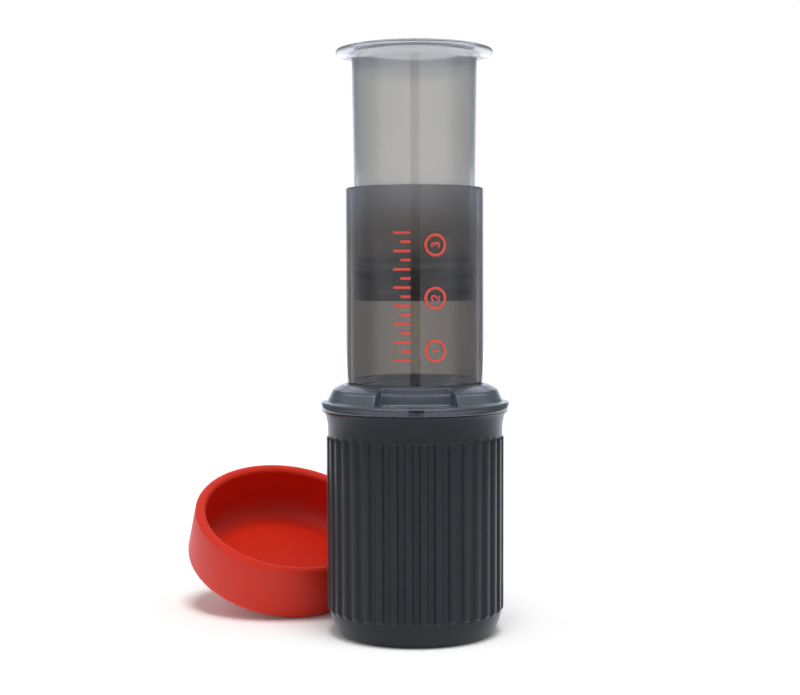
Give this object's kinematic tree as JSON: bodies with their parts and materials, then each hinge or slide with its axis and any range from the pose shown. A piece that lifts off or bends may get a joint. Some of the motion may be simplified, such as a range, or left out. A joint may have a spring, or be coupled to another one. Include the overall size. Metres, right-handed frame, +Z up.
{
  "type": "piston coffee press",
  "caption": "Travel coffee press: a plunger in a see-through chamber that stands by its flange on a ribbed mug, with a perforated filter cap, a paper filter and a soft lid leaning on the mug.",
  "frame": {"origin": "centre of the mug's flat base, on the surface it stands on", "axes": "+Z up along the axis of the mug, chamber and plunger; the pictured side faces -Y and the lid leans at -X, +Y"},
  "size_m": [0.162, 0.1557, 0.2755],
  "materials": {
    "mug_plastic": "satin dark charcoal",
    "chamber_plastic": "clear grey tint, polished",
    "plunger_plastic": "clear light grey tint, polished",
    "seal_rubber": "black, satin",
    "cap_plastic": "black, satin",
    "filter_paper": "unbleached paper",
    "lid_silicone": "red, satin"
  },
  "bodies": {
    "mug": {"mug": "mug_plastic"},
    "chamber": {"chamber": "chamber_plastic"},
    "plunger": {"plunger_tube": "plunger_plastic", "plunger_seal": "seal_rubber"},
    "cap": {"filter_cap": "cap_plastic", "paper_filter": "filter_paper"},
    "lid": {"lid": "lid_silicone"}
  },
  "joints": [
    {"name": "press_lift", "type": "slide", "parent": "mug", "child": "chamber", "axis": [0, 0, 1], "range_m": [0, 0.05]},
    {"name": "plunger_press", "type": "slide", "parent": "chamber", "child": "plunger", "axis": [0, 0, -1], "range_m": [-0.054, 0.0595]},
    {"name": "cap_twist", "type": "hinge", "parent": "chamber", "child": "cap", "pos_m": [0, 0, 0.0935], "axis": [0, 0, -1], "range_deg": [0, 30]},
    {"name": "lid_lift", "type": "slide", "parent": "mug", "child": "lid", "axis": [0, 0, 1], "range_m": [0, 0.03]}
  ]
}
